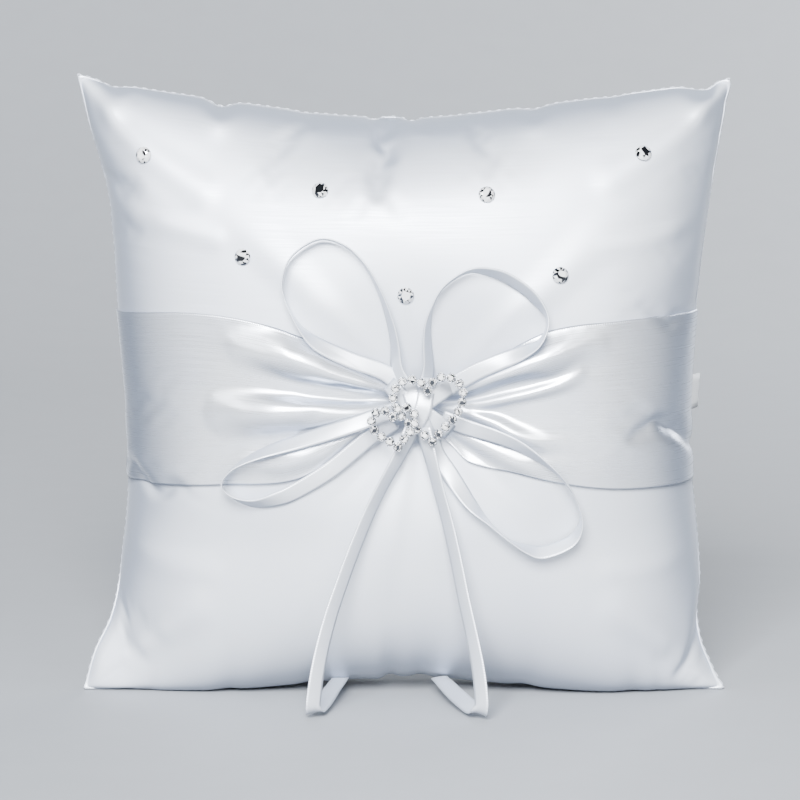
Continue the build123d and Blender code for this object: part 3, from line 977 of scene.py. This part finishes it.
# Bunched passes under the brooch, like the tails.
KNOT_RUNS = (
    (
        (-9, 7.5, 36.5, 0), (-6, 5, 39.6, 0), (0, 0.5, 40.4, 0),
        (6, -4, 39.6, 0), (9.5, -7, 36.5, 0),
    ),
    (
        (10, 7.5, 36.5, 0), (6, 5, 39.7, 0), (0, 1.2, 41, 0),
        (-5.5, -0.8, 39.8, 0), (-9.5, -1.8, 36.5, 0),
    ),
    (
        (-3.8, 9.5, 36.5, 0), (-2.4, 5.5, 40.1, 0), (-0.3, 0, 41.6, 0),
        (2, -5.5, 40.4, 0), (3.6, -9.6, 36.8, 0),
    ),
    (
        (3.2, 9.5, 36.5, 0), (2.4, 5.5, 40.4, 0), (1.2, 0, 42.2, 0),
        (-1.6, -5.5, 40.8, 0), (-3.4, -9.6, 37, 0),
    ),
)


def ribbon_grid(centre, across):
    """Points of a slightly cupped ribbon from its middle line and its crosswise directions."""
    tangent = unit(np.gradient(centre, axis=0))
    across = unit(across - tangent * (across * tangent).sum(axis=1, keepdims=True))
    normal = np.cross(tangent, across)
    normal *= np.where(normal[:, 1:2] > 0, -1, 1)
    share = np.linspace(-1, 1, RIBBON_ACROSS)
    cup = RIBBON_CUP * (1 - share**2)
    return (
        centre[:, None]
        + across[:, None] * share[None, :, None] * RIBBON_WIDTH / 2
        + normal[:, None] * cup[None, :, None]
    )


def ribbon_piece(name, centre, across):
    """Ribbon of real thickness along a middle line."""
    piece = sheet(name, ribbon_grid(centre, across))
    edge = np.linspace(-RIBBON_WIDTH / 2, RIBBON_WIDTH / 2, RIBBON_ACROSS)
    set_uv(piece, *np.meshgrid(reach_along(centre), edge, indexing="ij"))
    thickened(piece, RIBBON_THICKNESS)
    return piece


def rolling(values, pick, reach):
    """Pick of the neighbours within reach of each value."""
    padded = np.pad(values, reach, mode="edge")
    return pick([padded[i:i + len(values)] for i in range(2 * reach + 1)], axis=0)


def loop_line(keys, surface):
    """Middle line and crosswise directions of a loop lying over the satin."""
    length = reach_along(np.array(keys)[:, :2])[-1] * MM
    run = smooth_run(keys, int(length / RIBBON_STEP))
    place = np.stack([KNOT.x + run[:, 0] * MM, KNOT.z + run[:, 1] * MM], axis=1)
    tangent = unit(np.gradient(place, axis=0))
    aside = np.stack([-tangent[:, 1], tangent[:, 0] * 0, tangent[:, 0]], axis=1)
    lean = np.radians(run[:, 2:3])
    across = np.cos(lean) * aside + np.sin(lean) * ON_EDGE
    half = RIBBON_WIDTH / 2
    y = np.full(len(run), 1.0)
    for side in (-1, 0, 1):
        x = place[:, 0] + side * half * across[:, 0]
        z = place[:, 1] + side * half * across[:, 2]
        behind = np.array([surface.y(a, b) for a, b in zip(x, z)])
        y = np.minimum(y, behind - side * half * across[:, 1])
    y = rolling(rolling(y, np.min, 2), np.mean, 4) - run[:, 3] * MM
    under_brooch = np.hypot(run[:, 0], run[:, 1]) < UNDER_BROOCH
    y[under_brooch] = np.maximum(y[under_brooch], HUB_FRONT_Y + RIBBON_THICKNESS)
    y = rolling(y, np.mean, 2)
    return np.stack([place[:, 0], y, place[:, 1]], axis=1), across


def free_line(keys):
    """Middle line and crosswise directions of a ribbon that hangs free."""
    keys = np.array(keys, float)
    reach = reach_along(keys[:, :3])
    count = int(reach[-1] * MM / RIBBON_STEP)
    x, z, forward, turn = smooth_run(np.column_stack([reach, reach * 0, keys]), count).T[2:]
    centre = np.stack([KNOT.x + x * MM, SEAM_Y - forward * MM, KNOT.z + z * MM], axis=1)
    turn = np.radians(turn)
    return centre, np.stack([np.cos(turn), np.sin(turn), turn * 0], axis=1)


def hinge_ends(body):
    """Two points out from the knot across the hinge of a loop or tail, at the hub's edge."""
    low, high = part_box(body)
    out = np.cross(np.array(JOINTS[body]["axis"], float), FRONT)
    middle = (low + high) / 2 - KNOT
    if middle.x * out[0] + middle.z * out[2] < 0:
        out = -out
    out = Vector(unit(out))
    return KNOT + out * HINGE_START, KNOT + out * HINGE_END


def make_bow(surface):
    """Four loops, two tails and the bunched middle of one narrow ribbon."""
    lines = {body: loop_line(keys, surface) for body, keys in LOOP_RUNS.items()}
    lines |= {body: free_line(keys) for body, keys in TAIL_RUNS.items()}
    for body, line in lines.items():
        piece = ribbon_piece(f"{body}_ribbon", *line)
        finish_bent_piece(piece, RIBBON_SATIN, body, *hinge_ends(body), "ribbon_satin")
    for number, keys in enumerate(KNOT_RUNS, start=1):
        centre, _ = free_line(keys)
        aside = np.cross(unit(centre[-1] - centre[0]), FRONT)
        piece = ribbon_piece(f"bow_knot_pass_{number}", centre, np.tile(aside, (len(centre), 1)))
        finish_piece(piece, RIBBON_SATIN, "bow_knot")


# --- Cut stones and their cups ------------------------------------------------
class Batch:
    """Many copies of small shapes gathered into one mesh."""

    def __init__(self):
        self.points = []
        self.faces = []

    def add(self, points, faces, place=Matrix()):
        """Put one more shape in, moved to its place."""
        start = len(self.points)
        self.points += [place @ Vector(point) for point in points]
        self.faces += [tuple(start + i for i in face) for face in faces]

    def piece(self, name, smooth=True):
        """Mesh object of everything put in so far."""
        return mesh_object(name, self.points, self.faces, smooth)


def ring(radius, height, count, turn=0.0):
    """Points of a level circle."""
    angles = [2 * math.pi * (i + turn) / count for i in range(count)]
    return [(radius * math.cos(a), radius * math.sin(a), height) for a in angles]


def tube_faces(rows, count, closed):
    """Quads between rings of count points; closed joins the last ring to the first."""
    faces = []
    for r in range(rows if closed else rows - 1):
        here, after = r * count, (r + 1) % rows * count
        for c in range(count):
            beside = (c + 1) % count
            faces.append((here + c, here + beside, after + beside, after + c))
    return faces


def lathed(profile, count):
    """Closed solid of revolution from (radius, height) pairs that start and end off the axis."""
    points = [point for radius, height in profile for point in ring(radius, height, count)]
    return points, tube_faces(len(profile), count, closed=True)


def tube(line, radius, count=8, closed=False):
    """Round wire along a line of points."""
    line = np.array(line, float)
    ahead = np.roll(line, -1, axis=0) - np.roll(line, 1, axis=0)
    tangent = unit(ahead if closed else np.gradient(line, axis=0))
    side = unit(np.cross(tangent, [0.13, 0.95, 0.29]))
    other = np.cross(tangent, side)
    angles = np.linspace(0, 2 * math.pi, count, endpoint=False)[None, :, None]
    around = np.cos(angles) * side[:, None] + np.sin(angles) * other[:, None]
    points = (line[:, None] + radius * around).reshape(-1, 3)
    faces = tube_faces(len(line), count, closed)
    if not closed:
        faces.append(tuple(range(count))[::-1])
        faces.append(tuple(range(len(points) - count, len(points))))
    return points, faces


def brilliant(radius, crown, girdle, pavilion):
    """Round brilliant: table, star, kite and girdle facets, over a pointed or flat back."""
    table = ring(0.55 * radius, crown, 8)
    kites = ring(0.8 * radius, 0.62 * crown, 8, 0.5)
    rim = ring(radius, 0, 16)
    low = ring(radius, -girdle, 16)
    base = ring(radius * 0.3, -girdle - pavilion, 8)
    points = table + kites + rim + low + base
    t, k, g, w, b = 0, 8, 16, 32, 48
    faces = [tuple(range(8))]
    for i in range(8):
        after, before = (i + 1) % 8, (i - 1) % 8
        faces.append((t + i, k + i, t + after))
        faces.append((t + i, k + before, g + 2 * i, k + i))
        faces.append((k + i, g + 2 * i, g + 2 * i + 1))
        faces.append((k + i, g + 2 * i + 1, g + (2 * i + 2) % 16))
        faces.append((b + i, b + after, w + (2 * i + 2) % 16, w + 2 * i + 1, w + 2 * i))
    for i in range(16):
        after = (i + 1) % 16
        faces.append((g + i, w + i, w + after, g + after))
    faces.append(tuple(b + i for i in range(8))[::-1])
    return points, faces


def islands(node):
    """Middle and frontmost y of each separate solid of a CAD node."""
    mesh = bmesh.new()
    mesh.from_mesh(bpy.data.objects[node].data)
    bmesh.ops.remove_doubles(mesh, verts=mesh.verts, dist=0.005 * MM)
    mesh.verts.ensure_lookup_table()
    left = set(range(len(mesh.verts)))
    found = []
    while left:
        queue = [left.pop()]
        group = []
        while queue:
            vertex = mesh.verts[queue.pop()]
            group.append(vertex.co.copy())
            for edge in vertex.link_edges:
                other = edge.other_vert(vertex).index
                if other in left:
                    left.remove(other)
                    queue.append(other)
        low = Vector(map(min, zip(*group)))
        high = Vector(map(max, zip(*group)))
        found.append(((low + high) / 2, low.y))
    mesh.free()
    return found


def merged_islands(node, reach):
    """Islands with near duplicates left out, so that split shells count once."""
    kept = []
    for middle, front_y in islands(node):
        if all((middle - other).length > reach for other, _ in kept):
            kept.append((middle, front_y))
    return kept


STONE_RADIUS = 1.26 * MM
STONE_SINK = 0.6 * MM  # from a CAD stone's front to its girdle
STONE_TILT = 0.12  # radians by which a stone sits askew at most
CUP_RADIUS = 1.4 * MM
CUP_DEPTH = 1.2 * MM
CUP_WALL = 0.13 * MM
CLAWS = 4
# Middle line of a claw: share of the cup's radius, millimetres above its rim.
CLAW_RUN = ((0.97, -0.5), (1.0, 0.1), (0.93, 0.42), (0.74, 0.58))
CLAW_RADIUS = 0.2 * MM
RAIL_RADIUS = 0.42 * MM  # wire that joins the cups behind
TO_FRONT = Matrix.Rotation(math.radians(90), 4, "X")  # local +Z becomes -Y


def cup_shapes():
    """Open cup with claws bent over the stone's crown."""
    hole, foot, rim = 0.35 * CUP_RADIUS, 0.8 * CUP_RADIUS, CUP_RADIUS
    outside = [(hole, -CUP_DEPTH), (foot, -CUP_DEPTH), (rim, -0.25 * CUP_DEPTH), (rim, 0)]
    inside = [
        (rim - CUP_WALL, 0),
        (rim - CUP_WALL, -0.25 * CUP_DEPTH),
        (foot - CUP_WALL, CUP_WALL - CUP_DEPTH),
        (hole, CUP_WALL - CUP_DEPTH),
    ]
    shapes = [lathed(outside + inside, 20)]
    for x, y, _ in ring(CUP_RADIUS, 0, CLAWS, 0.5):
        line = [(x * share, y * share, height * MM) for share, height in CLAW_RUN]
        shapes.append(tube(line, CLAW_RADIUS, 7))
    return shapes


def make_heart(name):
    """One heart of claw-set stones, where the CAD's stones are."""
    places = merged_islands(f"{name}_crystals", 0.8 * MM)
    centre = sum((middle for middle, _ in places), Vector()) / len(places)
    places.sort(key=lambda place: math.atan2(place[0].z - centre.z, place[0].x - centre.x))
    seats = [Vector((middle.x, front_y + STONE_SINK, middle.z)) for middle, front_y in places]
    dice = random.Random(name)
    metal, stones = Batch(), Batch()
    stone = brilliant(STONE_RADIUS, crown=0.62 * MM, girdle=0.08 * MM, pavilion=0.8 * MM)
    cup = cup_shapes()
    for seat in seats:
        spin = Matrix.Rotation(dice.uniform(0, math.pi / 2), 4, "Z")
        nod = Matrix.Rotation(dice.uniform(-STONE_TILT, STONE_TILT), 4, "X")
        roll = Matrix.Rotation(dice.uniform(-STONE_TILT, STONE_TILT), 4, "Y")
        place = Matrix.Translation(seat) @ TO_FRONT @ nod @ roll @ spin
        stones.add(*stone, place)
        for shape in cup:
            metal.add(*shape, place)
    rail = [seat + Vector((0, CUP_DEPTH - 0.15 * MM, 0)) for seat in seats]
    metal.add(*tube(rail, RAIL_RADIUS, 10, closed=True))
    metal_piece = metal.piece(f"{name}_claws_and_rail")
    finish_piece(metal_piece, SILVER, f"{name}_frame")
    stone_piece = stones.piece(f"{name}_stones", smooth=False)
    finish_piece(stone_piece, CRYSTAL, f"{name}_crystals")


STUD_RADIUS = 2.5 * MM
STUD_CROWN = 1.125 * MM
STUD_GIRDLE = 0.2 * MM
STUD_BACK = 0.15 * MM
GLUE_RISE = 0.35 * MM
GLUE_SINK = 0.3 * MM  # of the dot, into the satin


def make_studs(surface):
    """Flat-backed stones glued to the satin."""
    stones, dots = Batch(), Batch()
    stone = brilliant(STUD_RADIUS, STUD_CROWN, STUD_GIRDLE, STUD_BACK)
    middle, foot, top = 0.05 * MM, STUD_RADIUS * 0.8, STUD_RADIUS * 0.72
    profile = [(middle, -GLUE_SINK), (foot, -GLUE_SINK), (top, GLUE_RISE), (middle, GLUE_RISE)]
    dot = lathed(profile, 24)
    lift = Matrix.Translation((0, 0, GLUE_RISE + STUD_GIRDLE + STUD_BACK))
    dice = random.Random(7)
    for middle, _ in merged_islands("scattered_crystals", 2 * MM):
        point, normal = surface.hit(middle.x, middle.z)
        place = Matrix.Translation(point) @ normal.to_track_quat("Z", "Y").to_matrix().to_4x4()
        spin = Matrix.Rotation(dice.uniform(0, math.pi / 4), 4, "Z")
        stones.add(*stone, place @ lift @ spin)
        dots.add(*dot, place)
    stone_piece = stones.piece("satin_crystals", smooth=False)
    finish_piece(stone_piece, CRYSTAL, "scattered_crystals")
    finish_piece(dots.piece("crystal_glue"), GLUE, "crystal_glue_dots")


# --- Sewing -------------------------------------------------------------------
STITCH_PITCH = 3 * MM
STITCH_LENGTH = 2.2 * MM
STITCH_RADIUS = 0.16 * MM
STITCH_ARCH = (-0.55, -0.05, 0.05, -0.05, -0.55)  # millimetres outside the seam line
# A hand stitch across the bottom seam: share of its lean, millimetres behind and above the seam.
SLIP_RUN = ((-1, -1.6, 0.9), (-0.4, -0.7, 0.1), (0.4, 0.7, 0.1), (1, 1.6, 0.9))
SLIP_LEAN = 0.9 * MM


def seam_stitches(front):
    """Thread that shows between the two panels all round the seam."""
    rows, columns = rim_cells()
    rim = surface_at(front, SPAN[columns], SPAN[rows])
    rim = np.vstack([rim, rim[:1]])
    reach = reach_along(rim)
    centre = np.array([0, SEAM_Y, COVER_HIGH.z / 2])
    arch = np.array(STITCH_ARCH)[:, None] * MM
    batch = Batch()
    for number in range(int(reach[-1] / STITCH_PITCH)):
        start = number * STITCH_PITCH
        at = np.linspace(start, start + STITCH_LENGTH, len(arch))
        line = np.stack([np.interp(at, reach, rim[:, i]) for i in range(3)], axis=1)
        outward = unit(line - centre) * [1, 0, 1]
        batch.add(*tube(line + outward * arch, STITCH_RADIUS, 6))
    finish_piece(batch.piece("seam_thread_stitches"), THREAD, "seam_thread")


def slip_stitches(front):
    """Hand stitches across the bottom seam, where the cushion was closed."""
    x, y, z = surface_at(front, SPAN, -np.ones(SIDE)).T
    batch = Batch()
    for middle, _ in merged_islands("closing_stitches", 0.8 * MM):
        seam = Vector((middle.x, np.interp(middle.x, x, y), np.interp(middle.x, x, z)))
        run = [Vector((share * SLIP_LEAN, behind * MM, up * MM)) for share, behind, up in SLIP_RUN]
        batch.add(*tube([seam + step for step in run], STITCH_RADIUS, 6))
    finish_piece(batch.piece("slip_stitches"), THREAD, "closing_stitches")


# --- Care label ---------------------------------------------------------------
LABEL_HEIGHT = 10.5 * MM
LABEL_REACH = 6.5 * MM
LABEL_ROOT = 2.5 * MM  # tape held between the covers, inside the seam line
TAPE_THICKNESS = 0.25 * MM
LABEL_LEAF_GAP = 0.3 * MM
LABEL_CURL = 0.1  # how far the free end curls towards the pillow, as a share of its length
LABEL_ROWS = 6
LABEL_BEND = 0.3 * MM, 2.6 * MM  # from the seam, two points along the tape handed on as start and end


def label_run():
    """The folded tape seen from above: distance beyond the seam and offset, leaf by leaf."""
    gap = LABEL_LEAF_GAP
    shares = np.linspace(-1, 1, 13)[:-1]
    leaf = [(share * LABEL_REACH, gap * (1 + min(share, 0))) for share in shares]
    fold = np.linspace(-math.pi / 2, math.pi / 2, 10)
    run = [(along, -off) for along, off in leaf]
    run += [(LABEL_REACH + gap * math.cos(turn), gap * math.sin(turn)) for turn in fold]
    return run + leaf[::-1]


def care_label(front):
    """Blank folded tape caught in the side seam and bent to the back."""
    hinge = Vector(JOINTS["care_label"]["pos_m"])
    low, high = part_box("care_label")
    out = ((low + high) / 2 - hinge) * Vector((1, 1, 0))
    out.normalize()
    side = Vector((-out.y, out.x, 0))
    row = np.abs(front[:, -1, 2] - hinge.z).argmin()
    seam = Vector(front[row, -1])
    seam.z = hinge.z
    root = seam - Vector((LABEL_ROOT, 0, 0))
    run = label_run()
    points = []
    for share in np.linspace(-0.5, 0.5, LABEL_ROWS):
        for along, off in run:
            curl = LABEL_CURL * max(along, 0) ** 2 / LABEL_REACH * (1 - share)
            spot = seam + out * along if along > 0 else seam.lerp(root, -along / LABEL_REACH)
            points.append(spot + side * (off + curl) + Vector((0, 0, share * LABEL_HEIGHT)))
    piece = mesh_object("care_label_tape", points, grid_faces(LABEL_ROWS, len(run)))
    heights = np.linspace(0, LABEL_HEIGHT, LABEL_ROWS)
    set_uv(piece, *np.meshgrid(reach_along(np.array(run)), heights))
    thickened(piece, TAPE_THICKNESS)
    start, end = [seam + out * reach for reach in LABEL_BEND]
    finish_bent_piece(piece, TAPE, "care_label", start, end, "label_tape")


# --- Camera, light and floor --------------------------------------------------
FRAMED_WIDTH = 0.248  # at the cushion
CAMERA_DISTANCE = 1.2
CAMERA_AZIMUTH, CAMERA_ELEVATION = math.radians(2.5), math.radians(8)
SENSOR = 36  # millimetres
AIM = Vector((-1.25 * MM, SEAM_Y, 0.09))
COOL_WHITE = (0.95, 0.975, 1)
BACKDROP = (0.42, 0.44, 0.48, 1)
# Profile of the floor, in metres: its front edge, where it turns up, that turn's radius, its top.
FLOOR_FRONT, FLOOR_TURN, FLOOR_RADIUS, FLOOR_TOP = -5.0, 0.7, 0.8, 2.6
FLOOR_HALF_WIDTH = 4.0


def look_at(thing, target):
    """Turn a camera or a light towards a point."""
    thing.rotation_euler = (Vector(target) - thing.location).to_track_quat("-Z", "Y").to_euler()


def area_light(name, place, size, power, colour=(1, 1, 1), target=AIM):
    """Rectangular soft light."""
    data = bpy.data.lights.new(name, "AREA")
    data.shape = "RECTANGLE"
    data.size, data.size_y = size
    data.energy = power
    data.color = colour
    light = bpy.data.objects.new(name, data)
    light.location = place
    bpy.context.scene.collection.objects.link(light)
    look_at(light, target)


def make_lights():
    """One big softbox in front and above, small lights for sparkle, and two soft ones behind."""
    area_light("front_softbox", (-0.1, -1.75, 1.1), (0.9, 0.9), 175, COOL_WHITE)
    area_light("left_strip", (-1.2, -0.9, 0.7), (0.2, 0.7), 6, (0.93, 0.96, 1))
    area_light("right_spark", (0.7, -1.2, 0.5), (0.12, 0.12), 3)
    area_light("high_spark", (-0.3, -1.0, 1.0), (0.12, 0.12), 3)
    area_light("back_softbox", (0.8, 1.15, 0.55), (0.7, 0.7), 22, COOL_WHITE)
    area_light("backdrop_light", (0, 0.45, 1.2), (2.0, 0.5), 18, target=(0, 2, 0.8))


def make_camera():
    """Camera a little above and to the right of the cushion, as in the photo."""
    camera_data = bpy.data.cameras.new("camera")
    camera = bpy.data.objects.new("camera", camera_data)
    bpy.context.scene.collection.objects.link(camera)
    direction = Vector((
        math.sin(CAMERA_AZIMUTH) * math.cos(CAMERA_ELEVATION),
        -math.cos(CAMERA_AZIMUTH) * math.cos(CAMERA_ELEVATION),
        math.sin(CAMERA_ELEVATION),
    ))
    camera.location = AIM + CAMERA_DISTANCE * direction
    look_at(camera, AIM)
    camera_data.sensor_width = SENSOR
    camera_data.lens = SENSOR * CAMERA_DISTANCE / FRAMED_WIDTH
    bpy.context.scene.camera = camera


def make_floor():
    """Pale floor that sweeps up into a backdrop and throws little light back onto the cushion."""
    line = [(FLOOR_FRONT, 0.0), (FLOOR_TURN, 0.0)]
    for angle in np.linspace(0.1, math.pi / 2, 14):
        rise = FLOOR_RADIUS * (1 - math.cos(angle))
        line.append((FLOOR_TURN + FLOOR_RADIUS * math.sin(angle), rise))
    line.append((FLOOR_TURN + FLOOR_RADIUS, FLOOR_TOP))
    points = [(x, y, z) for y, z in line for x in (-FLOOR_HALF_WIDTH, FLOOR_HALF_WIDTH)]
    floor = mesh_object("floor", points, grid_faces(len(line), 2))
    nodes = material_nodes("pale_floor")
    grain = nodes.noise(nodes.object_place(), 60.0)
    pale = nodes.mix(grain, (0.31, 0.325, 0.35, 1), (0.33, 0.345, 0.37, 1))
    bounce = nodes.add("LightPath").outputs["Is Diffuse Ray"]
    nodes.set(Base_Color=nodes.mix(bounce, pale, (0.07, 0.075, 0.085, 1)), Roughness=0.6)
    floor.data.materials.append(nodes.owner)


def make_world():
    """Pale backdrop for the camera; for everything else a soft light in front, dim at the sides."""
    nodes = Nodes(bpy.data.worlds.new("studio"), "Background")
    direction = nodes.add("TexCoord").outputs["Generated"]
    backward = nodes.add("SeparateXYZ", Vector=direction).outputs["Y"]
    path = nodes.add("LightPath")
    shine = nodes.math("ADD", nodes.math("MULTIPLY", path.outputs["Is Glossy Ray"], 1.5), 1.0)
    light = nodes.math("MULTIPLY", nodes.ramp(backward, -0.5, -0.85, 0.06, 0.3), shine)
    nodes.set(Color=nodes.mix(path.outputs["Is Camera Ray"], light, BACKDROP), Strength=1.0)
    bpy.context.scene.world = nodes.owner


# --- Build everything ---------------------------------------------------------
def finish_cad_nodes():
    """Finish of the CAD nodes that are shown as they are."""
    for node in ("gather_stitches", "brooch_stitches"):
        for slot in bpy.data.objects[node].material_slots:
            slot.material = THREAD


front_panel, back_panel = make_cushion()
front_cover = cover_piece("front_cover_satin", front_panel, False, "front_cover")
cover_piece("back_cover_satin", back_panel, True, "back_cover")
filling_piece(front_panel, back_panel)
sash = sash_piece(front_panel)
satin_front = Surface(front_cover, sash)
make_bow(satin_front)
make_heart("large_heart")
make_heart("small_heart")
make_studs(satin_front)
seam_stitches(front_panel)
slip_stitches(front_panel)
care_label(front_panel)
finish_cad_nodes()
make_floor()
make_camera()
make_lights()
make_world()
